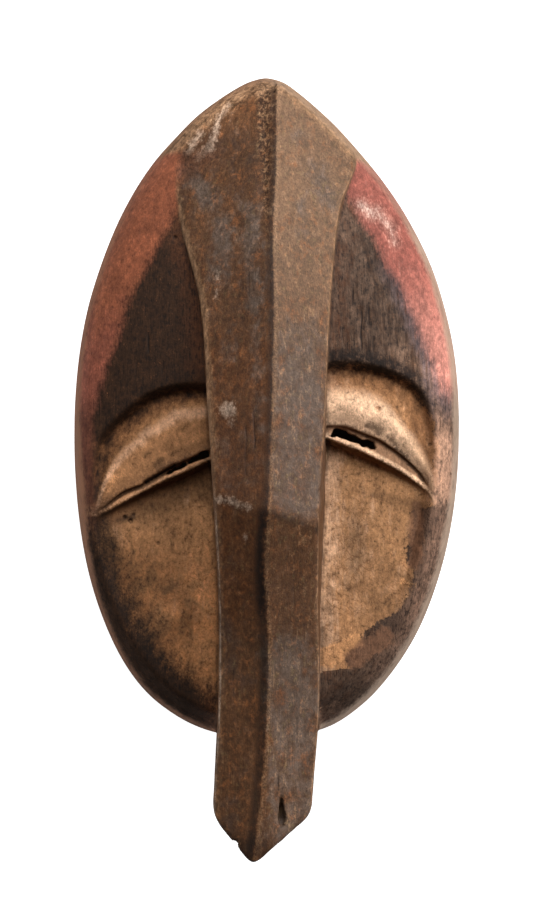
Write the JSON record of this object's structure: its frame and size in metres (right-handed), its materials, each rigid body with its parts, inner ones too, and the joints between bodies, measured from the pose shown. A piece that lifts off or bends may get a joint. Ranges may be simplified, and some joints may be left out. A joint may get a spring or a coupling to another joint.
{
  "type": "kwele miniature mask",
  "caption": "Miniature carved wooden face mask: oval shell hollow behind, roof-shaped crest running down into a long pointed trunk, slit eyes, worn red, black and ochre paint",
  "frame": {"origin": "centre of the bounding box, on the plane of the flat back rim that the mask lies on", "axes": "+Z out of the face, +Y to the top of the head, +X to the right of someone looking at the face"},
  "size_m": [0.1016, 0.2018, 0.051],
  "materials": {
    "painted_wood": "hand carved hardwood, blackened and rubbed brown on the crest, red bands on the forehead, ochre and white clay on the eyes and cheeks, worn edges"
  },
  "bodies": {
    "root": {"mask": "painted_wood"}
  },
  "joints": []
}
